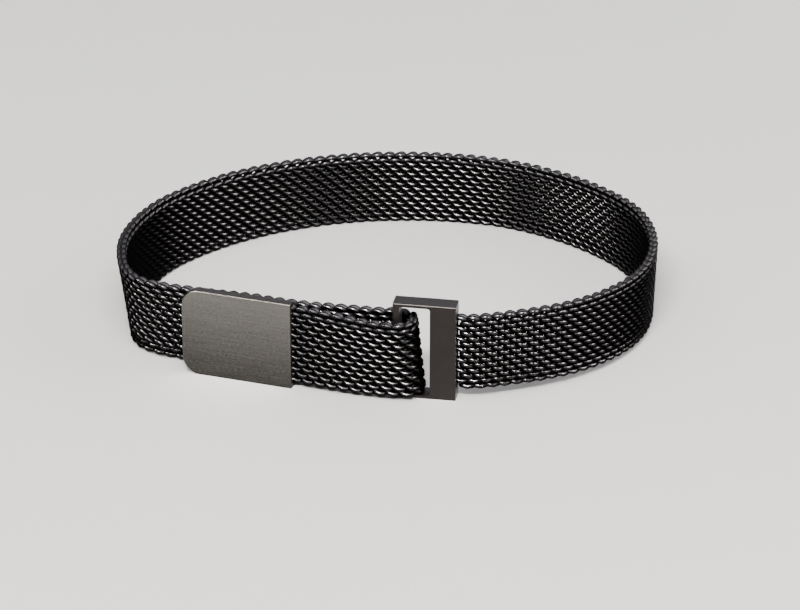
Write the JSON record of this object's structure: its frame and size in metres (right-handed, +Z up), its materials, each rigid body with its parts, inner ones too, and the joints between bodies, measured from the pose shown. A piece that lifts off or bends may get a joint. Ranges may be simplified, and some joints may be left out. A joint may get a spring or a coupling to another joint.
{
  "type": "mesh bracelet",
  "caption": "Woven wire mesh bracelet, closed: the band folds back over a buckle's bar and ends in a magnetic clasp with a brushed face plate.",
  "frame": {"origin": "middle of the footprint, on the surface the bracelet lies on", "axes": "+Z up, the clasp and the buckle face -Y, and +X runs from the clasp towards the buckle"},
  "size_m": [0.0698, 0.0548, 0.0128],
  "materials": {
    "black_wire": "glossy black plated steel wire",
    "dark_metal": "satin dark plated steel",
    "brushed_plate": "brushed along the band",
    "magnet_housing": "satin dark plated steel"
  },
  "bodies": {
    "root": {"mesh_band": "black_wire", "buckle_frame": "dark_metal", "clasp_plate": "brushed_plate", "clasp_housing": "magnet_housing"}
  },
  "joints": []
}
